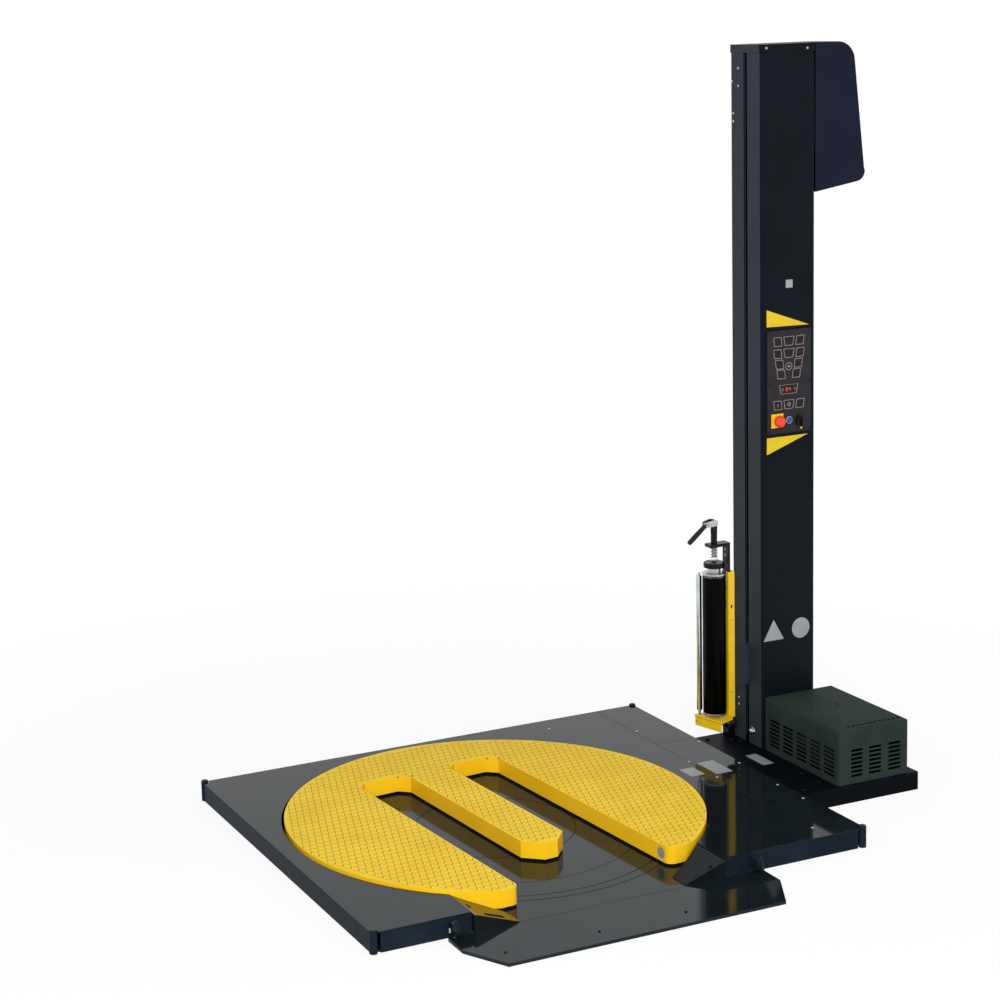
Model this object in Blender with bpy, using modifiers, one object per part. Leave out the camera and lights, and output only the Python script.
"""Turntable pallet wrapper: a low E-shaped turntable in a floor frame, and a column with a film carriage.

Metres, +Z up. The origin is the turntable's axis on the floor. The column stands on the +X side and pallet
trucks come in over the ramp from the -Y side.
"""

import math

import bmesh
import bpy
from mathutils import Matrix, Vector

# Overall sizes
TABLE_R = 0.750
FRAME_LEFT = TABLE_R + 0.069
FRAME_RIGHT = TABLE_R + 0.300
FRAME_FRONT = TABLE_R + 0.005
FRAME_BACK = TABLE_R + 0.048
COLUMN_TOP = 2.735

# Clearances
REST_GAP = 0.0003
SLIDE_GAP = 0.0005
SEAM = 0.001
RUN_GAP = 0.010

# Floor plate and frame
BASE_T = 0.012
RAIL_T = 0.003
RAIL_FLANGE = 0.030
RAIL_TOP = 0.0672
DECK_T = 0.004
POST_R = 0.0135
POST_TOP = 0.078
POST_INSET = 0.008
OPENING_HALF = 0.470
BASE_NOSE = FRAME_FRONT + 0.021
WEDGE_TOE = 0.310
PANEL_X = FRAME_RIGHT - 0.171
PANEL_REAR_Y = 0.331
PANEL_FRONT_Y = -0.342

# Ramp
RAMP_LEFT = -0.566
RAMP_RIGHT = 0.612
RAMP_NOSE = FRAME_FRONT + 0.278
RAMP_SHOULDER = FRAME_FRONT + 0.126
RAMP_CORNER = 0.082
RAMP_SHEET = 0.004
HINGE_Y = -FRAME_FRONT - 0.030
HINGE_Z = 0.040
LUG_R = 0.024
LUG_T = 0.014
PIN_R = 0.008

# Turntable
TABLE_TOP = 0.080
SKIRT_Z = 0.020
TABLE_SHEET = 0.005
TABLE_REST_ANGLE = math.radians(4.4)
TONGUE_HALF = 0.086
TONGUE_END = 0.372
TONGUE_CHAMFER = 0.060
SLOT_OUT = 0.298
SLOT_REAR = 0.486
SLOT_CHAMFER = 0.036
CHORD = TABLE_R - 0.108
LOBE_CORNER = 0.028
SPINDLE_R = 0.025
HUB_R = 0.068
ROLLER_R = 0.026
ROLLER_W = 0.030
ROLLER_AXLE_R = 0.006
OUTER_TRACK = TABLE_R - 0.102
INNER_TRACK = 0.290
ROLLER_PLACES = (
    (OUTER_TRACK, 60),
    (OUTER_TRACK, 120),
    (OUTER_TRACK, 235),
    (OUTER_TRACK, 305),
    (INNER_TRACK, 270),
)

# Drive under the deck
WHEEL_R = 0.040
WHEEL_ANGLE = math.radians(38)
PULLEY_R = 0.022
BELT_T = 0.003
BELT_W = 0.010
BELT_Z = (0.018, 0.031)
TYRE_Z = (0.045, 0.063)
MOTOR_X = FRAME_RIGHT + 0.280
MOTOR_Y = -0.140
MOTOR_SHAFT_R = 0.009

# Column
MAST_X = FRAME_RIGHT + 0.155
MAST_DEPTH = 0.240
MAST_Y = 0.200
MAST_WIDTH = 0.200
FOOT_X = MAST_X + MAST_DEPTH + 0.115
FOOT_FRONT = -0.385
FOOT_BACK = MAST_Y + MAST_WIDTH / 2 + 0.035
FOOT_TOP = 0.068
FOOT_WALL = 0.004
MAST_WALL = 0.004
MAST_CORNER = 0.012
SLOT_WIDTH = 0.022
CAP_LIP = 0.0035
CAP_SKIRT = 0.026
CAP_T = 0.004
HOOD_BOTTOM = COLUMN_TOP - 0.550
HOOD_REACH = 0.227
HOOD_WALL = 0.004
VENT_X = (FRAME_RIGHT + 0.162, FRAME_RIGHT + 0.470)
VENT_Y = (FOOT_FRONT + 0.007, MAST_Y - MAST_WIDTH / 2 - 0.012)
VENT_TOP = 0.275
VENT_WALL = 0.003

# Lift
LIFT_X = MAST_X + 0.155
LIFT_PULLEY_R = 0.035
LIFT_TOP_Z = COLUMN_TOP - 0.135
LIFT_LOW_Z = 0.160

# Control panel on the column's front face
PANEL_BOX = (MAST_X + 0.023, MAST_X + 0.217, 1.290, 1.680)
PANEL_T = 0.006
ESTOP = (MAST_X + 0.065, 1.340)
RESET = (MAST_X + 0.118, 1.338)
SWITCH = (MAST_X + 0.1695, 1.330)

# Film carriage
ROLL_X = MAST_X - 0.147
ROLL_R = 0.045
FILM_CORE_R = 0.0385
ROLL_Z = (0.214, 0.746)
SPOOL_R = 0.012
IDLE_R = 0.011
IDLE_REACH = ROLL_R + IDLE_R + 0.0043
IDLE_ANGLE = math.radians(130)
IDLE_X = ROLL_X + IDLE_REACH * math.cos(IDLE_ANGLE)
IDLE_Y = MAST_Y + IDLE_REACH * math.sin(IDLE_ANGLE)
GUARD_X = (ROLL_X + ROLL_R + 0.004, ROLL_X + ROLL_R + 0.032)
BRACKET_Z = (0.186, 0.194)
ARM_T = 0.012
DISC_Z = (0.781, 0.802)
SPRING_TOP = 0.862
LEVER_Z = 0.955


for old in list(bpy.data.objects):
    bpy.data.objects.remove(old, do_unlink=True)

scene = bpy.context.scene
parts = bpy.data.collections.new("turntable_pallet_wrapper")
scene.collection.children.link(parts)
cutters = bpy.data.collections.new("cutters")
scene.collection.children.link(cutters)
cutters.hide_render = True

ALONG_X = (math.pi / 2, 0, math.pi / 2)
ALONG_Y = (math.pi / 2, 0, 0)
ALONG_Z = (0, 0, 0)


def material(name, rgb, roughness, metallic=0.0):
    made = bpy.data.materials.new(name)
    made.use_nodes = True
    shader = made.node_tree.nodes["Principled BSDF"]
    shader.inputs["Base Color"].default_value = (*rgb, 1)
    shader.inputs["Roughness"].default_value = roughness
    shader.inputs["Metallic"].default_value = metallic
    return made


FRAME_GREY = material("frame_grey", (0.045, 0.052, 0.058), 0.25)
RAIL_GREY = material("rail_grey", (0.035, 0.042, 0.055), 0.4)
TABLE_YELLOW = material("table_yellow", (0.80, 0.48, 0.02), 0.35)
MAST_GREY = material("mast_grey", (0.018, 0.021, 0.027), 0.5)
VENT_GREY = material("vent_grey", (0.032, 0.042, 0.038), 0.5)
PANEL_BLACK = material("panel_black", (0.03, 0.03, 0.032), 0.4)
ZINC = material("zinc", (0.62, 0.62, 0.62), 0.3, 1.0)
STEEL = material("steel", (0.55, 0.55, 0.56), 0.35, 1.0)
BLACK_PLASTIC = material("black_plastic", (0.02, 0.02, 0.02), 0.45)
RUBBER = material("rubber", (0.02, 0.02, 0.02), 0.8)
FILM_BLACK = material("film_black", (0.01, 0.01, 0.011), 0.12)
MOTOR_GREY = material("motor_grey", (0.2, 0.21, 0.22), 0.45)
SIGNAL_RED = material("signal_red", (0.7, 0.05, 0.03), 0.4)
SIGNAL_YELLOW = material("signal_yellow", (0.85, 0.55, 0.02), 0.45)
BUTTON_BLUE = material("button_blue", (0.1, 0.25, 0.6), 0.35)


def place(name, data, finish, collection=parts):
    made = bpy.data.objects.new(name, data)
    made.data.materials.append(finish)
    collection.objects.link(made)
    if collection is cutters:
        made.hide_render = True
        made.display_type = "WIRE"
    return made


def round_off(mesh):
    mesh.shade_smooth()
    mesh.set_sharp_from_angle(angle=math.radians(35))


def box(name, low, high, finish, collection=parts):
    """A block between two corners."""
    bm = bmesh.new()
    size = [b - a for a, b in zip(low, high)]
    centre = [(a + b) / 2 for a, b in zip(low, high)]
    bmesh.ops.create_cube(bm, size=1, matrix=Matrix.Diagonal((*size, 1)))
    mesh = bpy.data.meshes.new(name)
    bm.to_mesh(mesh)
    bm.free()
    made = place(name, mesh, finish, collection)
    made.location = centre
    return made


def rod(name, radius, length, centre, turn, finish, collection=parts, sides=24):
    """A cylinder of this length about its centre, turned to lie along an axis."""
    bm = bmesh.new()
    bmesh.ops.create_cone(bm, cap_ends=True, segments=sides, radius1=radius, radius2=radius, depth=length)
    mesh = bpy.data.meshes.new(name)
    bm.to_mesh(mesh)
    bm.free()
    round_off(mesh)
    made = place(name, mesh, finish, collection)
    made.location = centre
    made.rotation_euler = turn
    return made


def turned(name, profile, centre, turn, finish, collection=parts, sides=24):
    """A lathe shape: (radius, height) points down the outer side. A bore makes it a closed loop."""
    bored = all(radius > 0 for radius, _ in profile)
    mesh = bpy.data.meshes.new(name)
    bm = bmesh.new()
    points = [bm.verts.new((radius, 0, height)) for radius, height in profile]
    for first, second in zip(points, points[1:]):
        bm.edges.new((first, second))
    if bored:
        bm.edges.new((points[-1], points[0]))
    bm.to_mesh(mesh)
    bm.free()
    made = place(name, mesh, finish, collection)
    screw = made.modifiers.new("lathe", "SCREW")
    screw.steps = sides
    screw.render_steps = sides
    screw.use_merge_vertices = True
    screw.merge_threshold = 0.00005
    screw.use_smooth_shade = False
    made.location = centre
    made.rotation_euler = turn
    return made


def extruded(name, outlines, low, high, turn, finish, collection=parts):
    """Flat outlines in a plane, filled and extruded. The second and later ones are holes."""
    curve = bpy.data.curves.new(name, "CURVE")
    curve.dimensions = "2D"
    curve.fill_mode = "BOTH"
    curve.extrude = (high - low) / 2
    for outline in outlines:
        spline = curve.splines.new("POLY")
        spline.points.add(len(outline) - 1)
        for point, (x, y) in zip(spline.points, outline):
            point.co = (x, y, 0, 1)
        spline.use_cyclic_u = True
    flat = bpy.data.objects.new(name + "_outline", curve)
    flat.rotation_euler = turn
    middle = (low + high) / 2
    if turn == ALONG_X:
        flat.location = (middle, 0, 0)
    elif turn == ALONG_Y:
        flat.location = (0, middle, 0)
    else:
        flat.location = (0, 0, middle)
    scene.collection.objects.link(flat)
    bpy.context.view_layer.update()
    graph = bpy.context.evaluated_depsgraph_get()
    mesh = bpy.data.meshes.new_from_object(flat.evaluated_get(graph))
    bm = bmesh.new()
    bm.from_mesh(mesh)
    bmesh.ops.remove_doubles(bm, verts=bm.verts, dist=0.00001)
    bmesh.ops.recalc_face_normals(bm, faces=bm.faces)
    bm.to_mesh(mesh)
    bm.free()
    mesh.name = name
    made = place(name, mesh, finish, collection)
    made.matrix_world = flat.matrix_world
    bpy.data.objects.remove(flat, do_unlink=True)
    return made


def boolean(target, tool, operation):
    step = target.modifiers.new(tool.name, "BOOLEAN")
    step.operation = operation
    step.object = tool
    step.solver = "EXACT"


def cut(target, *tools):
    for tool in tools:
        boolean(target, tool, "DIFFERENCE")


def weld(target, *tools):
    for tool in tools:
        boolean(target, tool, "UNION")


def pivot(name, location, parent=None, turn=(0, 0, 0)):
    """An empty on a joint's axis."""
    made = bpy.data.objects.new(name, None)
    made.empty_display_size = 0.05
    parts.objects.link(made)
    made.location = location
    made.rotation_euler = turn
    if parent:
        made.parent = parent
        made.matrix_parent_inverse = Matrix.Translation(parent.location).inverted()
    return made


def hang(parent, *pieces):
    """Parents pieces that are placed in world coordinates to an empty that isn't turned."""
    back = Matrix.Translation(world_place(parent)).inverted()
    for piece in pieces:
        piece.parent = parent
        piece.matrix_parent_inverse = back


def world_place(empty):
    bpy.context.view_layer.update()
    return empty.matrix_world.to_translation()


def arc(centre, radius, start, end, steps):
    """Points on an arc from one angle in degrees to another, both ends included."""
    angles = [math.radians(start + (end - start) * i / steps) for i in range(steps + 1)]
    return [(centre[0] + radius * math.cos(a), centre[1] + radius * math.sin(a)) for a in angles]


# ---- Floor plate: it stands on the floor and carries the rollers' tracks ----
POST_CUT = POST_R + POST_INSET + 0.008
base_x0 = -FRAME_LEFT + RAIL_T + SLIDE_GAP
base_x1 = FRAME_RIGHT - RAIL_T - SLIDE_GAP
base_y0 = -FRAME_FRONT + RAIL_T + SLIDE_GAP
base_y1 = FRAME_BACK - RAIL_T - SLIDE_GAP
nose_half = OPENING_HALF - SEAM
base_outline = [
    (base_x0 + POST_CUT, base_y0),
    (-nose_half, base_y0),
    (-nose_half, -BASE_NOSE),
    (nose_half, -BASE_NOSE),
    (nose_half, base_y0),
    (base_x1 - POST_CUT, base_y0),
    (base_x1, base_y0 + POST_CUT),
    (base_x1, base_y1 - POST_CUT),
    (base_x1 - POST_CUT, base_y1),
    (base_x0 + POST_CUT, base_y1),
    (base_x0, base_y1 - POST_CUT),
    (base_x0, base_y0 + POST_CUT),
]
extruded("base_plate", [base_outline], 0, BASE_T, ALONG_Z, FRAME_GREY)

# ---- Frame rails: folded angles between the corner posts ----
post_x0 = -FRAME_LEFT + POST_INSET
post_x1 = FRAME_RIGHT - POST_INSET
post_y0 = -FRAME_FRONT + POST_INSET
post_y1 = FRAME_BACK - POST_INSET
rail_stop = POST_R + SLIDE_GAP


def angle_profile(outer, inward):
    """The L of a folded rail whose web's outer face is at this place and whose flange points inward."""
    return [
        (outer, REST_GAP),
        (outer + inward * RAIL_T, REST_GAP),
        (outer + inward * RAIL_T, RAIL_TOP - RAIL_T),
        (outer + inward * RAIL_FLANGE, RAIL_TOP - RAIL_T),
        (outer + inward * RAIL_FLANGE, RAIL_TOP),
        (outer, RAIL_TOP),
    ]


side_start = post_y0 + rail_stop
side_end = post_y1 - rail_stop
extruded("rail_left", [angle_profile(-FRAME_LEFT, 1)], side_start, side_end, ALONG_Y, RAIL_GREY)
rail_right = extruded(
    "rail_right", [angle_profile(FRAME_RIGHT, -1)], side_start, side_end, ALONG_Y, RAIL_GREY
)
across_start = -FRAME_LEFT + RAIL_FLANGE + SLIDE_GAP
across_end = FRAME_RIGHT - RAIL_FLANGE - SLIDE_GAP
extruded("rail_back", [angle_profile(FRAME_BACK, -1)], across_start, across_end, ALONG_X, RAIL_GREY)
front_profile = angle_profile(-FRAME_FRONT, 1)
opening_edge = OPENING_HALF + SEAM / 2
extruded("rail_front_left", [front_profile], across_start, -opening_edge, ALONG_X, RAIL_GREY)
extruded("rail_front_right", [front_profile], opening_edge, across_end, ALONG_X, RAIL_GREY)

# ---- Corner posts with a groove at mid height ----
post_profile = [
    (0, POST_TOP),
    (POST_R - 0.003, POST_TOP),
    (POST_R, POST_TOP - 0.003),
    (POST_R, 0.042),
    (POST_R - 0.0012, 0.041),
    (POST_R - 0.0012, 0.038),
    (POST_R, 0.037),
    (POST_R, 0),
    (0, 0),
]
for side, x in (("left", post_x0), ("right", post_x1)):
    for end, y in (("front", post_y0), ("back", post_y1)):
        turned(f"corner_post_{end}_{side}", post_profile, (x, y, 0), ALONG_Z, RAIL_GREY, sides=20)

# ---- Deck sheets: they lie on the rails' flanges round the turntable ----
deck_low = RAIL_TOP + REST_GAP
deck_high = deck_low + DECK_T
deck_r = TABLE_R + RUN_GAP
deck_x0 = -FRAME_LEFT + SEAM
deck_x1 = FRAME_RIGHT - SEAM
deck_y0 = -FRAME_FRONT + SEAM
deck_y1 = FRAME_BACK - SEAM
notch = POST_R + POST_INSET + SEAM
mouth = math.degrees(math.acos(OPENING_HALF / deck_r))
deck_outline = [(deck_x0 + notch, deck_y0), (-OPENING_HALF, deck_y0)]
deck_outline += arc((0, 0), deck_r, 180 + mouth, -mouth, 72)
deck_outline += [
    (OPENING_HALF, deck_y0),
    (PANEL_X - SEAM, deck_y0),
    (PANEL_X - SEAM, deck_y1),
    (deck_x0 + notch, deck_y1),
    (deck_x0 + notch, deck_y1 - notch),
    (deck_x0, deck_y1 - notch),
    (deck_x0, deck_y0 + notch),
    (deck_x0 + notch, deck_y0 + notch),
]
extruded("deck_plate", [deck_outline], deck_low, deck_high, ALONG_Z, FRAME_GREY)


def side_panel(name, y0, y1, notched):
    """A sheet of the strip beside the column. notched is the end that clears a corner post, or 0."""
    outline = [(PANEL_X, y0), (deck_x1, y0), (deck_x1, y1), (PANEL_X, y1)]
    if notched < 0:
        outline[1:2] = [(deck_x1 - notch, y0), (deck_x1 - notch, y0 + notch), (deck_x1, y0 + notch)]
    if notched > 0:
        outline[2:3] = [(deck_x1, y1 - notch), (deck_x1 - notch, y1 - notch), (deck_x1 - notch, y1)]
    extruded(name, [outline], deck_low, deck_high, ALONG_Z, FRAME_GREY)


side_panel("deck_panel_front", deck_y0, PANEL_FRONT_Y, -1)
side_panel("drive_cover", PANEL_FRONT_Y + SEAM, PANEL_REAR_Y - SEAM, 0)
side_panel("deck_panel_rear", PANEL_REAR_Y, deck_y1, 1)

# ---- Guide wedges: they lead a truck's forks into the opening ----
table_clear = rod("table_clearance", deck_r, 0.4, (0, 0, 0), ALONG_Z, FRAME_GREY, cutters, sides=144)
wedge_low = BASE_T + REST_GAP
for side, name in ((-1, "guide_wedge_left"), (1, "guide_wedge_right")):
    flank = [
        (side * WEDGE_TOE, wedge_low),
        (side * nose_half, wedge_low),
        (side * nose_half, RAIL_TOP),
        (side * (nose_half - 0.006), RAIL_TOP),
        (side * WEDGE_TOE, wedge_low + 0.002),
    ]
    wedge = extruded(name, [flank], -BASE_NOSE + SEAM, -0.5, ALONG_Y, RAIL_GREY)
    cut(wedge, table_clear)

# ---- Ramp: a lipped sheet on two lugs, which folds up for transport ----
ramp_back = -BASE_NOSE - 0.0015


def ramp_outline(inset):
    left = RAMP_LEFT + inset
    right = RAMP_RIGHT - inset
    nose = -RAMP_NOSE + inset
    shoulder = -RAMP_SHOULDER
    corner = RAMP_CORNER
    back = ramp_back - inset
    return [
        (left, back),
        (left, shoulder),
        (left + corner, nose),
        (right - corner, nose),
        (right, shoulder),
        (right, back),
    ]


ramp_pivot = pivot("ramp_hinge", (0, HINGE_Y, HINGE_Z))
ramp = extruded("entry_ramp", [ramp_outline(0)], SLIDE_GAP, BASE_T, ALONG_Z, RAIL_GREY)
pocket = extruded(
    "ramp_pocket", [ramp_outline(RAMP_SHEET)], -BASE_T, BASE_T - RAMP_SHEET, ALONG_Z, RAIL_GREY, cutters
)
cut(ramp, pocket)
LUG_PLACES = ((RAMP_LEFT + 0.026, "left", -1), (RAMP_RIGHT - 0.032, "right", 1))
for x, side, out in LUG_PLACES:
    lug_back = -FRAME_FRONT - REST_GAP * 2
    lug_outline = [(lug_back, HINGE_Z - LUG_R), (lug_back, HINGE_Z + LUG_R)]
    lug_outline += arc((HINGE_Y, HINGE_Z), LUG_R, 90, 270, 14)
    lug = extruded(f"hinge_lug_{side}", [lug_outline], x - LUG_T / 2, x + LUG_T / 2, ALONG_X, RAIL_GREY)
    pin_middle = x + out * (LUG_T / 2 + 0.006)
    pin = rod(f"hinge_pin_{side}", PIN_R, 0.020, (pin_middle, HINGE_Y, HINGE_Z), ALONG_X, ZINC, cutters)
    weld(lug, pin)
    ear_inner = x + out * (LUG_T / 2 + SEAM)
    ear_outer = ear_inner + out * 0.010
    ear_outline = [(HINGE_Y - LUG_R, BASE_T - 0.002), (ramp_back - 0.001, BASE_T - 0.002)]
    ear_outline += arc((HINGE_Y, HINGE_Z), LUG_R, 20, 180, 12)
    bore = arc((HINGE_Y, HINGE_Z), PIN_R + SLIDE_GAP, 0, 345, 23)
    ear = extruded(
        f"ramp_ear_{side}",
        [ear_outline, bore],
        min(ear_inner, ear_outer),
        max(ear_inner, ear_outer),
        ALONG_X,
        RAIL_GREY,
        cutters,
    )
    weld(ramp, ear)
    hang(ramp_pivot, ear)
hang(ramp_pivot, ramp, pocket)

# ---- Turntable: a skirted sheet with two fork slots, turning on a spindle and five rollers ----
table = pivot("turntable_axis", (0, 0, 0), turn=(0, 0, TABLE_REST_ANGLE))


def table_outline(inset):
    """The E seen from above, with every wall moved in by the inset."""
    rim = TABLE_R - inset
    chord = -(CHORD - inset)
    slot = SLOT_OUT + inset
    half = TONGUE_HALF - inset
    rear = SLOT_REAR + inset
    end = -(TONGUE_END - inset)
    edge = math.degrees(math.acos(-chord / rim))
    round_off_angle = math.degrees(LOBE_CORNER / rim)
    start = 270 - edge - round_off_angle
    stop = -90 + edge + round_off_angle
    rim_x = math.sqrt(rim**2 - chord**2)
    points = arc((-slot - LOBE_CORNER, chord + LOBE_CORNER), LOBE_CORNER, 0, -90, 4)
    points.append((-rim_x + LOBE_CORNER * 0.7, chord))
    points.append((-rim_x + LOBE_CORNER * 0.15, chord + LOBE_CORNER * 0.25))
    points += arc((0, 0), rim, start, stop, 84)
    points += [(rim_x - LOBE_CORNER * 0.15, chord + LOBE_CORNER * 0.25), (rim_x - LOBE_CORNER * 0.7, chord)]
    points += arc((slot + LOBE_CORNER, chord + LOBE_CORNER), LOBE_CORNER, 270, 180, 4)
    for side in (1, -1):
        bay = [
            (slot, rear - SLOT_CHAMFER),
            (slot - SLOT_CHAMFER, rear),
            (half + SLOT_CHAMFER, rear),
            (half, rear - SLOT_CHAMFER),
            (half, end + TONGUE_CHAMFER),
            (half - TONGUE_CHAMFER, end),
        ]
        if side < 0:
            bay = [(-x, y) for x, y in reversed(bay)]
        points += bay
    return points


turntable = extruded("turntable_deck", [table_outline(0)], SKIRT_Z, TABLE_TOP, ALONG_Z, TABLE_YELLOW)
turntable.parent = table
hollow = extruded(
    "turntable_hollow",
    [table_outline(TABLE_SHEET)],
    0,
    TABLE_TOP - TABLE_SHEET,
    ALONG_Z,
    TABLE_YELLOW,
    cutters,
)
hollow.parent = table
cut(turntable, hollow)

table_under = TABLE_TOP - TABLE_SHEET
roller_z = BASE_T + REST_GAP + ROLLER_R
ear_gap = 0.003
for number, (track, degrees) in enumerate(ROLLER_PLACES, 1):
    angle = math.radians(degrees)
    outward = Vector((math.cos(angle), math.sin(angle), 0))
    centre = outward * track + Vector((0, 0, roller_z))
    lie = (math.pi / 2, 0, angle + math.pi / 2)
    for end in (-1, 1):
        middle = outward * (track + end * (ROLLER_W / 2 + ear_gap + 0.002))
        cheek = box(
            f"roller_cheek_{number}_{end}",
            (-0.002, -0.014, roller_z - 0.010),
            (0.002, 0.014, table_under + 0.002),
            TABLE_YELLOW,
            cutters,
        )
        cheek.location = (middle.x, middle.y, cheek.location.z)
        cheek.rotation_euler = (0, 0, angle)
        cheek.parent = table
        weld(turntable, cheek)
    axle_length = ROLLER_W + 2 * ear_gap + 0.004
    axle = rod(f"roller_axle_{number}", ROLLER_AXLE_R, axle_length, centre, lie, ZINC, cutters, sides=16)
    axle.parent = table
    weld(turntable, axle)
    bore_r = ROLLER_AXLE_R + REST_GAP
    half = ROLLER_W / 2
    wheel = turned(
        f"support_roller_{number}",
        [
            (ROLLER_R - 0.002, half),
            (ROLLER_R, half - 0.002),
            (ROLLER_R, -half + 0.002),
            (ROLLER_R - 0.002, -half),
            (bore_r, -half),
            (bore_r, half),
        ],
        centre,
        lie,
        RUBBER,
        sides=24,
    )
    wheel.parent = table

spindle_flange_top = wedge_low + 0.008
turned(
    "centre_spindle",
    [
        (0, 0.070),
        (SPINDLE_R - 0.002, 0.070),
        (SPINDLE_R, 0.068),
        (SPINDLE_R, spindle_flange_top),
        (HUB_R - 0.006, spindle_flange_top),
        (HUB_R - 0.006, wedge_low),
        (0, wedge_low),
    ],
    (0, 0, 0),
    ALONG_Z,
    STEEL,
)
hub_bore = SPINDLE_R + REST_GAP
hub_low = spindle_flange_top + REST_GAP
hub = turned(
    "turntable_hub",
    [
        (HUB_R, table_under - REST_GAP),
        (HUB_R, table_under - 0.010),
        (HUB_R - 0.024, table_under - 0.012),
        (HUB_R - 0.024, hub_low),
        (hub_bore, hub_low),
        (hub_bore, table_under - REST_GAP),
    ],
    (0, 0, 0),
    ALONG_Z,
    STEEL,
)
hub.parent = table

# ---- Table drive: two friction wheels on the skirt, each with its own belt from the gearmotor ----
wheel_track = TABLE_R + REST_GAP + WHEEL_R
wheel_x = wheel_track * math.cos(WHEEL_ANGLE)
wheel_y = wheel_track * math.sin(WHEEL_ANGLE)


def pulley_rings(belt_z):
    """The stretch of a lathe profile that carries one belt, from its top flange down."""
    top = belt_z + BELT_W + 0.0012
    low = belt_z - 0.0012
    return [
        (PULLEY_R + 0.002, top + 0.0015),
        (PULLEY_R + 0.002, top),
        (PULLEY_R, top),
        (PULLEY_R, low),
        (PULLEY_R + 0.002, low),
        (PULLEY_R + 0.002, low - 0.0015),
    ]


def belt_loop(name, start, end, radius, low, high, turn):
    """A flat belt round two equal pulleys, clear of them by the rest gap."""
    run = math.degrees(math.atan2(end[1] - start[1], end[0] - start[0]))
    loops = []
    for r in (radius + REST_GAP + BELT_T, radius + REST_GAP):
        loops.append(arc(end, r, run - 90, run + 90, 12) + arc(start, r, run + 90, run + 270, 12))
    return extruded(name, loops, low, high, turn, RUBBER)


for name, y, belt_z in (("front", -wheel_y, BELT_Z[0]), ("rear", wheel_y, BELT_Z[1])):
    axis = pivot(f"drive_wheel_{name}_axis", (wheel_x, y, 0))
    profile = [(0, TYRE_Z[1]), (WHEEL_R - 0.002, TYRE_Z[1]), (WHEEL_R, TYRE_Z[1] - 0.002)]
    profile += [(WHEEL_R, TYRE_Z[0] + 0.002), (WHEEL_R - 0.002, TYRE_Z[0]), (0.012, TYRE_Z[0])]
    if TYRE_Z[0] - belt_z > 0.016:
        profile += [(0.012, belt_z + BELT_W + 0.0027)]
    profile += pulley_rings(belt_z)
    profile += [(MOTOR_SHAFT_R, belt_z - 0.0027), (MOTOR_SHAFT_R, wedge_low), (0, wedge_low)]
    drive_wheel = turned(f"drive_wheel_{name}", profile, (wheel_x, y, 0), ALONG_Z, RUBBER)
    hang(axis, drive_wheel)
    belt_loop(
        f"drive_belt_{name}", (wheel_x, y), (MOTOR_X, MOTOR_Y), PULLEY_R, belt_z, belt_z + BELT_W, ALONG_Z
    )

motor_axis = pivot("motor_pulley_axis", (MOTOR_X, MOTOR_Y, 0))
motor_low = FOOT_TOP + REST_GAP
pulley_profile = [(0, motor_low - REST_GAP * 2), (MOTOR_SHAFT_R, motor_low - REST_GAP * 2)]
pulley_profile += [(MOTOR_SHAFT_R, BELT_Z[1] + BELT_W + 0.0027)]
pulley_profile += pulley_rings(BELT_Z[1])[:4]
pulley_profile += pulley_rings(BELT_Z[0])[2:]
pulley_profile += [(0, BELT_Z[0] - 0.0027)]
motor_pulley = turned("motor_pulley", pulley_profile, (MOTOR_X, MOTOR_Y, 0), ALONG_Z, STEEL)
hang(motor_axis, motor_pulley)
gearbox = box(
    "drive_gearmotor",
    (MOTOR_X - 0.055, MOTOR_Y - 0.055, motor_low),
    (MOTOR_X + 0.055, MOTOR_Y + 0.055, motor_low + 0.110),
    MOTOR_GREY,
)
motor_can = rod(
    "drive_motor_can",
    0.050,
    0.150,
    (MOTOR_X, MOTOR_Y + 0.120, motor_low + 0.055),
    ALONG_Y,
    MOTOR_GREY,
    cutters,
)
weld(gearbox, motor_can)

# ---- Column foot: an open-bottomed box with a way through for the belts ----
foot_x0 = FRAME_RIGHT + REST_GAP
foot = box("column_foot", (foot_x0, FOOT_FRONT, 0), (FOOT_X, FOOT_BACK, FOOT_TOP), FRAME_GREY)
foot_hollow = box(
    "foot_hollow",
    (foot_x0 + FOOT_WALL, FOOT_FRONT + FOOT_WALL, -FOOT_WALL),
    (FOOT_X - FOOT_WALL, FOOT_BACK - FOOT_WALL, FOOT_TOP - FOOT_WALL),
    FRAME_GREY,
    cutters,
)
way_front = MOTOR_Y + (-wheel_y - MOTOR_Y) * (MOTOR_X - FRAME_RIGHT) / (MOTOR_X - wheel_x) - 0.045
way_rear = MOTOR_Y + (wheel_y - MOTOR_Y) * (MOTOR_X - FRAME_RIGHT) / (MOTOR_X - wheel_x) + 0.045
belt_way = box(
    "belt_way",
    (FRAME_RIGHT - 0.010, way_front, BASE_T + SEAM),
    (foot_x0 + FOOT_WALL + 0.004, way_rear, BELT_Z[1] + BELT_W + 0.010),
    FRAME_GREY,
    cutters,
)
shaft_hole = rod("shaft_hole", 0.020, 0.030, (MOTOR_X, MOTOR_Y, FOOT_TOP), ALONG_Z, FRAME_GREY, cutters)
cut(foot, foot_hollow, belt_way, shaft_hole)
cut(rail_right, belt_way)

# ---- Mast: a folded channel whose slot faces the turntable ----
mast_x1 = MAST_X + MAST_DEPTH
mast_y0 = MAST_Y - MAST_WIDTH / 2
mast_y1 = MAST_Y + MAST_WIDTH / 2
mast_low = FOOT_TOP + REST_GAP
mast_top = COLUMN_TOP - CAP_T - REST_GAP


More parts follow.
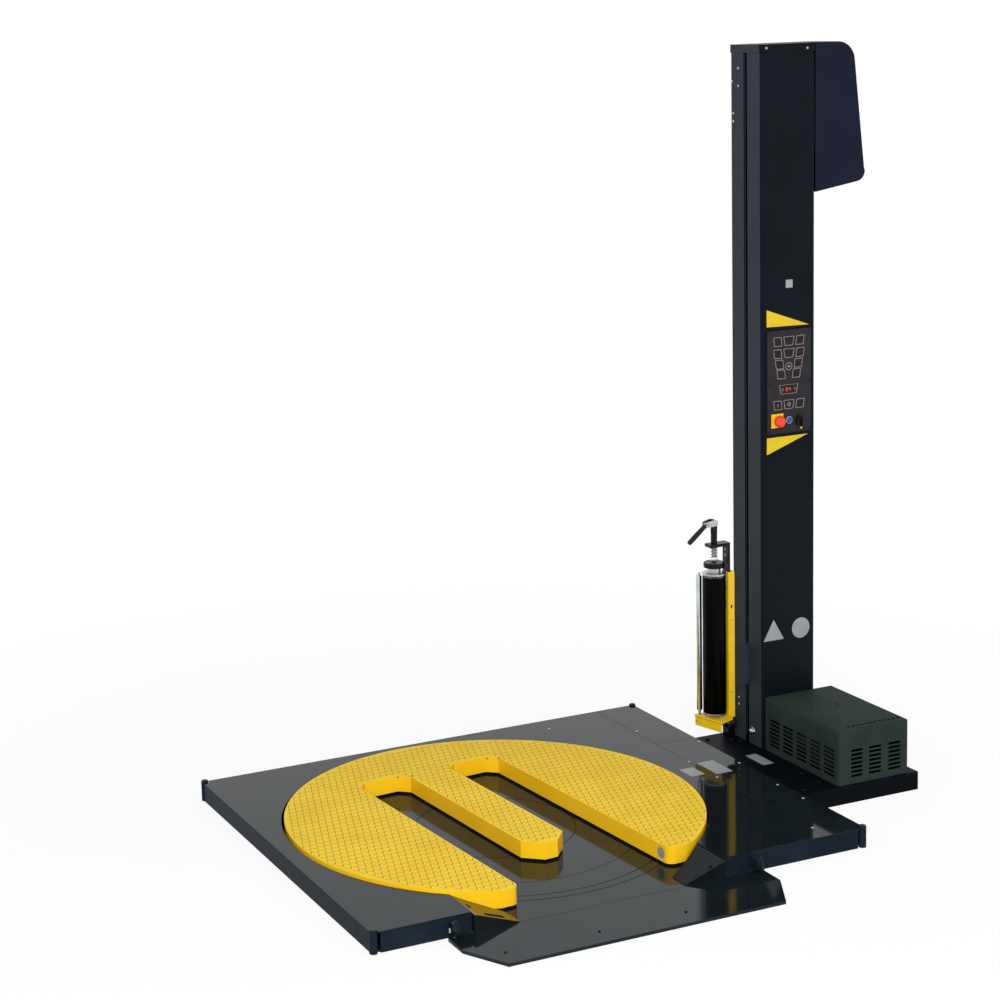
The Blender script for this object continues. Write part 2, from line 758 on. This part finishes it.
def rounded_box(x0, y0, x1, y1, radius, steps=4):
    """A rounded rectangle that starts and ends at its low-x side, going round from low y."""
    points = arc((x0 + radius, y0 + radius), radius, 180, 270, steps)
    points += arc((x1 - radius, y0 + radius), radius, 270, 360, steps)
    points += arc((x1 - radius, y1 - radius), radius, 0, 90, steps)
    points += arc((x0 + radius, y1 - radius), radius, 90, 180, steps)
    return points


outer = rounded_box(MAST_X, mast_y0, mast_x1, mast_y1, MAST_CORNER)
inner = rounded_box(
    MAST_X + MAST_WALL,
    mast_y0 + MAST_WALL,
    mast_x1 - MAST_WALL,
    mast_y1 - MAST_WALL,
    MAST_CORNER - MAST_WALL,
)
slot_low = MAST_Y - SLOT_WIDTH / 2
slot_high = MAST_Y + SLOT_WIDTH / 2
mast_outline = [(MAST_X, slot_low)] + outer + [(MAST_X, slot_high), (MAST_X + MAST_WALL, slot_high)]
mast_outline += list(reversed(inner)) + [(MAST_X + MAST_WALL, slot_low)]
mast = extruded("mast", [mast_outline], mast_low, mast_top, ALONG_Z, MAST_GREY)
shaft_way = box(
    "lift_shaft_way",
    (mast_x1 - 0.020, MAST_Y - 0.020, LIFT_TOP_Z - 0.020),
    (mast_x1 + 0.020, MAST_Y + 0.020, LIFT_TOP_Z + 0.020),
    MAST_GREY,
    cutters,
)
cut(mast, shaft_way)

cap_gap = SLIDE_GAP
cap = extruded(
    "top_cap",
    [
        rounded_box(
            MAST_X - CAP_LIP, mast_y0 - CAP_LIP, mast_x1 + CAP_LIP, mast_y1 + CAP_LIP, MAST_CORNER + CAP_LIP
        )
    ],
    COLUMN_TOP - CAP_T - CAP_SKIRT,
    COLUMN_TOP,
    ALONG_Z,
    MAST_GREY,
)
cap_room = extruded(
    "cap_room",
    [
        rounded_box(
            MAST_X - cap_gap, mast_y0 - cap_gap, mast_x1 + cap_gap, mast_y1 + cap_gap, MAST_CORNER + cap_gap
        )
    ],
    COLUMN_TOP - CAP_SKIRT * 2,
    COLUMN_TOP - CAP_T,
    ALONG_Z,
    MAST_GREY,
    cutters,
)
cut(cap, cap_room)

# ---- Motor hood on the column's back ----
hood_x0 = mast_x1 + CAP_LIP + SLIDE_GAP
hood_x1 = mast_x1 + HOOD_REACH
hood_y0 = mast_y0 + 0.004
hood_y1 = mast_y1 - 0.004


def hood_side(inset):
    """The hood's side view, as x and z, with rounded corners."""
    reach = hood_x1 - inset
    low = HOOD_BOTTOM + inset
    top = COLUMN_TOP - inset
    near = hood_x0 - (0.001 if inset else 0)
    points = [(near, top), (near, low)]
    points += arc((reach - 0.040, low + 0.068), 0.040, -80, 0, 5)
    points += [(reach - 0.004, low + 0.080)]
    points += arc((reach - 0.052 - 0.070, top - 0.075), 0.075 - inset * 0.2, 12, 90, 7)
    return points


hood = extruded("motor_hood", [hood_side(0)], hood_y0, hood_y1, ALONG_Y, MAST_GREY)
hood_room = extruded(
    "hood_room",
    [hood_side(HOOD_WALL)],
    hood_y0 + HOOD_WALL,
    hood_y1 - HOOD_WALL,
    ALONG_Y,
    MAST_GREY,
    cutters,
)
cut(hood, hood_room)

# ---- Lift drive: a gearmotor behind the mast turns a belt pulley inside it ----
gear_x0 = mast_x1 + REST_GAP
lift_gearmotor = box(
    "lift_gearmotor",
    (gear_x0, MAST_Y - 0.055, LIFT_TOP_Z - 0.060),
    (gear_x0 + 0.115, MAST_Y + 0.055, LIFT_TOP_Z + 0.060),
    MOTOR_GREY,
)
lift_can = rod(
    "lift_motor_can",
    0.048,
    0.200,
    (gear_x0 + 0.062, MAST_Y, LIFT_TOP_Z - 0.155),
    ALONG_Z,
    MOTOR_GREY,
    cutters,
)
weld(lift_gearmotor, lift_can)
pulley_half = 0.012
lift_pulley_profile = [
    (0, pulley_half + 0.002),
    (LIFT_PULLEY_R + 0.004, pulley_half + 0.002),
    (LIFT_PULLEY_R + 0.004, pulley_half),
    (LIFT_PULLEY_R, pulley_half),
    (LIFT_PULLEY_R, -pulley_half),
    (LIFT_PULLEY_R + 0.004, -pulley_half),
    (LIFT_PULLEY_R + 0.004, -pulley_half - 0.002),
    (0, -pulley_half - 0.002),
]


def lift_wheel(name, z, shaft_end):
    """A belt pulley across the mast with a shaft towards the back wall."""
    axis = pivot(f"{name}_axis", (LIFT_X, MAST_Y, z))
    profile = list(lift_pulley_profile)
    reach = shaft_end - LIFT_X
    profile[0:1] = [(0, reach), (0.010, reach), (0.010, pulley_half + 0.002)]
    wheel = turned(name, profile, (LIFT_X, MAST_Y, z), ALONG_X, STEEL)
    hang(axis, wheel)


lift_wheel("lift_pulley", LIFT_TOP_Z, gear_x0 - REST_GAP)
lift_wheel("lift_idler", LIFT_LOW_Z, mast_x1 - MAST_WALL - REST_GAP)
belt_loop(
    "lift_belt",
    (MAST_Y, LIFT_LOW_Z),
    (MAST_Y, LIFT_TOP_Z),
    LIFT_PULLEY_R,
    LIFT_X - pulley_half + 0.002,
    LIFT_X + pulley_half - 0.002,
    ALONG_X,
)

# ---- Vented cover over the table's gearmotor ----
vented = box("vented_cover", (VENT_X[0], VENT_Y[0], mast_low), (VENT_X[1], VENT_Y[1], VENT_TOP), VENT_GREY)
vent_hollow = box(
    "vent_hollow",
    (VENT_X[0] + VENT_WALL, VENT_Y[0] + VENT_WALL, 0),
    (VENT_X[1] - VENT_WALL, VENT_Y[1] - VENT_WALL, VENT_TOP - VENT_WALL),
    VENT_GREY,
    cutters,
)
cut(vented, vent_hollow)

# ---- Column tilt bracket beside the slot, with its bolt ----
bracket = box(
    "tilt_bracket",
    (MAST_X - 0.028, mast_y1 - 0.012, mast_low),
    (MAST_X - REST_GAP, mast_y1 + 0.030, mast_low + 0.075),
    PANEL_BLACK,
)
bracket_bolt = rod(
    "tilt_bolt", 0.014, 0.012, (MAST_X - 0.030, mast_y1 + 0.009, mast_low + 0.042), ALONG_X, ZINC, cutters
)
weld(bracket, bracket_bolt)

# ---- Control panel and the controls that travel ----
panel_face = mast_y0 - REST_GAP - PANEL_T
panel_outline = [
    (PANEL_BOX[0], PANEL_BOX[2]),
    (PANEL_BOX[1], PANEL_BOX[2]),
    (PANEL_BOX[1], PANEL_BOX[3]),
    (PANEL_BOX[0], PANEL_BOX[3]),
]


def panel_hole(centre, radius):
    return arc(centre, radius, 0, 345, 23)


RESET_R = 0.011
SWITCH_R = 0.020
ESTOP_STEM_R = 0.011
panel_holes = [
    panel_hole(ESTOP, ESTOP_STEM_R + SLIDE_GAP),
    panel_hole(RESET, RESET_R + SLIDE_GAP),
    panel_hole(SWITCH, 0.008 + SLIDE_GAP),
]
extruded(
    "control_panel", [panel_outline] + panel_holes, panel_face, mast_y0 - REST_GAP, ALONG_Y, PANEL_BLACK
)
estop_half = 0.0265
collar_outline = [
    (ESTOP[0] - estop_half, ESTOP[1] - estop_half),
    (ESTOP[0] + estop_half, ESTOP[1] - estop_half),
    (ESTOP[0] + estop_half, ESTOP[1] + estop_half),
    (ESTOP[0] - estop_half, ESTOP[1] + estop_half),
]
collar_face = panel_face - REST_GAP - 0.003
extruded(
    "estop_collar",
    [collar_outline, panel_hole(ESTOP, ESTOP_STEM_R + SLIDE_GAP)],
    collar_face,
    panel_face - REST_GAP,
    ALONG_Y,
    SIGNAL_YELLOW,
)
button_axis = pivot("estop_axis", (ESTOP[0], panel_face, ESTOP[1]))
estop_travel = 0.004
stem = collar_face - estop_travel - 0.004
estop = turned(
    "estop_button",
    [
        (0, 0.025),
        (0.015, 0.023),
        (0.021, 0.016),
        (0.0225, 0.009),
        (0.020, 0.000),
        (ESTOP_STEM_R, 0.000),
        (ESTOP_STEM_R, -0.012),
        (0, -0.012),
    ],
    (ESTOP[0], stem, ESTOP[1]),
    ALONG_Y,
    SIGNAL_RED,
)
hang(button_axis, estop)
reset_axis = pivot("reset_axis", (RESET[0], panel_face, RESET[1]))
reset = turned(
    "reset_button",
    [(0, 0.006), (RESET_R - 0.002, 0.006), (RESET_R, 0.004), (RESET_R, -0.0025), (0, -0.0025)],
    (RESET[0], panel_face, RESET[1]),
    ALONG_Y,
    BUTTON_BLUE,
)
hang(reset_axis, reset)
switch_axis = pivot("main_switch_axis", (SWITCH[0], panel_face, SWITCH[1]))
dial = turned(
    "main_switch",
    [
        (0, 0.010),
        (SWITCH_R - 0.002, 0.010),
        (SWITCH_R, 0.008),
        (SWITCH_R, REST_GAP),
        (0.008, REST_GAP),
        (0.008, -0.005),
        (0, -0.005),
    ],
    (SWITCH[0], panel_face, SWITCH[1]),
    ALONG_Y,
    BLACK_PLASTIC,
)
grip = box(
    "switch_grip",
    (SWITCH[0] - 0.005, panel_face - 0.022, SWITCH[1] - 0.017),
    (SWITCH[0] + 0.005, panel_face - 0.008, SWITCH[1] + 0.017),
    BLACK_PLASTIC,
    cutters,
)
weld(dial, grip)
hang(switch_axis, dial, grip)

# ---- Film carriage: a plate inside the mast, an arm out through the slot and the film's spindle ----
carriage = pivot("carriage_axis", (MAST_X, MAST_Y, BRACKET_Z[0]))
inside_x = MAST_X + MAST_WALL
plate_x0 = inside_x + 0.030
slider = box(
    "carriage_plate",
    (plate_x0, MAST_Y - 0.060, 0.200),
    (plate_x0 + 0.008, MAST_Y + 0.060, 0.560),
    STEEL,
)
arm = box(
    "carriage_arm",
    (GUARD_X[1] + REST_GAP, MAST_Y - ARM_T / 2, 0.300),
    (plate_x0 + 0.004, MAST_Y + ARM_T / 2, 0.460),
    STEEL,
    cutters,
)
belt_clip = box(
    "belt_clip",
    (plate_x0 + 0.004, MAST_Y + LIFT_PULLEY_R + REST_GAP * 2 + BELT_T, 0.360),
    (LIFT_X + 0.008, MAST_Y + LIFT_PULLEY_R + 0.018, 0.400),
    STEEL,
    cutters,
)
weld(slider, arm, belt_clip)
hang(carriage, slider, arm, belt_clip)

GUIDE_R = 0.014
GUIDE_W = 0.018
GUIDE_BORE = 0.004
guide_x = plate_x0 + 0.004
guide_y = mast_y1 - MAST_WALL - REST_GAP - GUIDE_R
guide_half = GUIDE_W / 2
ear_x = (guide_x + guide_half + 0.001, guide_x + guide_half + 0.005)
for name, z in (("lower", 0.240), ("upper", 0.520)):
    block = box(
        f"guide_block_{name}",
        (guide_x, MAST_Y + 0.045, z - 0.008),
        (ear_x[1], MAST_Y + 0.060, z + 0.008),
        STEEL,
        cutters,
    )
    ear = box(
        f"guide_ear_{name}",
        (ear_x[0], MAST_Y + 0.050, z - 0.0075),
        (ear_x[1], guide_y + 0.008, z + 0.0075),
        STEEL,
        cutters,
    )
    axle_x = guide_x + 0.003
    axle = rod(
        f"guide_pin_{name}",
        GUIDE_BORE,
        GUIDE_W + 0.004,
        (axle_x, guide_y, z),
        ALONG_X,
        ZINC,
        cutters,
        sides=16,
    )
    weld(slider, block, ear, axle)
    axis = pivot(f"guide_roller_{name}_axis", (guide_x, guide_y, z), carriage)
    guide = turned(
        f"guide_roller_{name}",
        [
            (GUIDE_R, guide_half),
            (GUIDE_R, -guide_half),
            (GUIDE_BORE + REST_GAP, -guide_half),
            (GUIDE_BORE + REST_GAP, guide_half),
        ],
        (guide_x, guide_y, z),
        ALONG_X,
        BLACK_PLASTIC,
        sides=20,
    )
    hang(carriage, block, ear, axle)
    hang(axis, guide)

guard = box(
    "guard_bar",
    (GUARD_X[0], MAST_Y - 0.022, BRACKET_Z[0]),
    (GUARD_X[1], MAST_Y + 0.022, 0.760),
    SIGNAL_YELLOW,
)
lip_start = Vector((IDLE_X - 0.016, IDLE_Y + 0.014))
lip_end = Vector((ROLL_X - 0.020, MAST_Y - 0.078))
foot_bracket = extruded(
    "reel_bracket",
    [
        [
            tuple(lip_start),
            tuple(lip_end),
            (GUARD_X[0] - REST_GAP, MAST_Y - 0.050),
            (GUARD_X[0] - REST_GAP, MAST_Y + 0.050),
        ]
    ],
    BRACKET_Z[0],
    BRACKET_Z[1],
    ALONG_Z,
    SIGNAL_YELLOW,
)
along = (lip_end - lip_start).normalized()
inward = Vector((-along.y, along.x))
lip_corners = (
    lip_start + 0.004 * along + 0.001 * inward,
    lip_end - 0.004 * along + 0.001 * inward,
    lip_end - 0.004 * along + 0.005 * inward,
    lip_start + 0.004 * along + 0.005 * inward,
)
bracket_lip = extruded(
    "bracket_lip",
    [[tuple(corner) for corner in lip_corners]],
    BRACKET_Z[0] - 0.034,
    BRACKET_Z[0] + 0.004,
    ALONG_Z,
    SIGNAL_YELLOW,
    cutters,
)
weld(foot_bracket, bracket_lip)
arm_low = SPRING_TOP + REST_GAP
arm_high = arm_low + 0.012
top_bracket = box(
    "top_bracket",
    (GUARD_X[0] + 0.002, MAST_Y - 0.020, 0.760 + REST_GAP),
    (GUARD_X[0] + 0.010, MAST_Y + 0.020, arm_high),
    PANEL_BLACK,
)
top_arm = box(
    "top_arm",
    (ROLL_X - 0.028, MAST_Y - 0.020, arm_low),
    (GUARD_X[0] + 0.006, MAST_Y + 0.020, arm_high),
    PANEL_BLACK,
    cutters,
)
NECK_R = 0.012
neck = rod("top_neck", NECK_R, 0.050, (ROLL_X, MAST_Y, arm_high + 0.020), ALONG_Z, PANEL_BLACK, cutters)
clevis = box(
    "top_clevis",
    (ROLL_X - 0.006, MAST_Y - 0.014, arm_high + 0.040),
    (ROLL_X + 0.006, MAST_Y + 0.014, LEVER_Z + 0.010),
    PANEL_BLACK,
    cutters,
)
clevis_slot = box(
    "clevis_slot",
    (ROLL_X - 0.020, MAST_Y - 0.0045, arm_high + 0.048),
    (ROLL_X + 0.020, MAST_Y + 0.0045, LEVER_Z + 0.030),
    PANEL_BLACK,
    cutters,
)
lever_pin = rod("lever_pin", 0.003, 0.024, (ROLL_X, MAST_Y, LEVER_Z), ALONG_Y, ZINC, cutters, sides=16)
weld(top_bracket, top_arm, neck, clevis)
cut(top_bracket, clevis_slot)
weld(top_bracket, lever_pin)
hang(carriage, guard, foot_bracket, bracket_lip, top_bracket, top_arm, neck, clevis, clevis_slot, lever_pin)

spool_axis = pivot("film_axis", (ROLL_X, MAST_Y, ROLL_Z[0]), carriage)
spool_low = BRACKET_Z[1] + REST_GAP
spool = turned(
    "reel_spindle",
    [
        (0, ROLL_Z[1] + 0.008),
        (SPOOL_R, ROLL_Z[1] + 0.008),
        (SPOOL_R, ROLL_Z[0] - 0.002),
        (FILM_CORE_R - 0.004, ROLL_Z[0] - 0.002),
        (FILM_CORE_R - 0.002, ROLL_Z[0] - REST_GAP),
        (ROLL_R, ROLL_Z[0] - REST_GAP),
        (ROLL_R, ROLL_Z[0] - 0.006),
        (0.016, ROLL_Z[0] - 0.008),
        (0.016, spool_low),
        (0, spool_low),
    ],
    (ROLL_X, MAST_Y, 0),
    ALONG_Z,
    ZINC,
)
film = turned(
    "film_roll",
    [
        (ROLL_R - 0.001, ROLL_Z[1]),
        (ROLL_R, ROLL_Z[1] - 0.001),
        (ROLL_R, ROLL_Z[0] + 0.001),
        (ROLL_R - 0.001, ROLL_Z[0]),
        (SPOOL_R + SLIDE_GAP, ROLL_Z[0]),
        (SPOOL_R + SLIDE_GAP, ROLL_Z[1]),
    ],
    (ROLL_X, MAST_Y, 0),
    ALONG_Z,
    FILM_BLACK,
)
hang(spool_axis, spool, film)
idle_axis = pivot("idle_axis", (IDLE_X, IDLE_Y, ROLL_Z[0]), carriage)
idle = turned(
    "idle_roller",
    [
        (0, ROLL_Z[1] + 0.010),
        (0.005, ROLL_Z[1] + 0.010),
        (0.005, ROLL_Z[1]),
        (IDLE_R, ROLL_Z[1]),
        (IDLE_R, ROLL_Z[0]),
        (0.005, ROLL_Z[0]),
        (0.005, spool_low),
        (0, spool_low),
    ],
    (IDLE_X, IDLE_Y, 0),
    ALONG_Z,
    ZINC,
    sides=20,
)
hang(idle_axis, idle)

brake_axis = pivot("brake_axis", (ROLL_X, MAST_Y, DISC_Z[0]), carriage)
brake = turned(
    "brake_disc",
    [
        (0, DISC_Z[1] + 0.004),
        (0.009, DISC_Z[1] + 0.004),
        (0.009, DISC_Z[1]),
        (0.038, DISC_Z[1]),
        (0.040, DISC_Z[1] - 0.003),
        (0.040, DISC_Z[0] + 0.002),
        (0.024, DISC_Z[0]),
        (0.024, ROLL_Z[1] + 0.018),
        (ROLL_R + 0.001, ROLL_Z[1] + 0.016),
        (ROLL_R + 0.001, ROLL_Z[1] + 0.009),
        (0, ROLL_Z[1] + 0.009),
    ],
    (ROLL_X, MAST_Y, 0),
    ALONG_Z,
    ZINC,
)
hang(brake_axis, brake)

SPRING_COIL_R = 0.013
SPRING_WIRE = 0.0015
SPRING_TURNS = 5
spring_curve = bpy.data.curves.new("brake_spring", "CURVE")
spring_curve.dimensions = "3D"
spring_curve.bevel_depth = SPRING_WIRE
spring_curve.bevel_resolution = 1
spring_curve.use_fill_caps = True
spring_low = DISC_Z[1] + REST_GAP + SPRING_WIRE
spring_high = SPRING_TOP - SPRING_WIRE
coil_points = SPRING_TURNS * 12 + 1
coil = spring_curve.splines.new("POLY")
coil.points.add(coil_points - 1)
for index, point in enumerate(coil.points):
    share = index / (coil_points - 1)
    turn = math.tau * SPRING_TURNS * share
    height = spring_low + (spring_high - spring_low) * share
    point.co = (SPRING_COIL_R * math.cos(turn), SPRING_COIL_R * math.sin(turn), height, 1)
spring = place("brake_spring", spring_curve, ZINC)
spring.location = (ROLL_X, MAST_Y, 0)
hang(carriage, spring)

lever_axis = pivot("lever_axis", (ROLL_X, MAST_Y, LEVER_Z), carriage)
lever_outline = arc((ROLL_X, LEVER_Z), 0.009, -60, 130, 8)
lever_outline += [
    (ROLL_X - 0.036, LEVER_Z + 0.002),
    (ROLL_X - 0.100, LEVER_Z - 0.055),
    (ROLL_X - 0.108, LEVER_Z - 0.064),
    (ROLL_X - 0.100, LEVER_Z - 0.069),
    (ROLL_X - 0.036, LEVER_Z - 0.010),
]
pin_hole = arc((ROLL_X, LEVER_Z), 0.003 + REST_GAP, 0, 337.5, 15)
lever = extruded("brake_lever", [lever_outline, pin_hole], MAST_Y - 0.003, MAST_Y + 0.003, ALONG_Y, ZINC)
hang(lever_axis, lever)
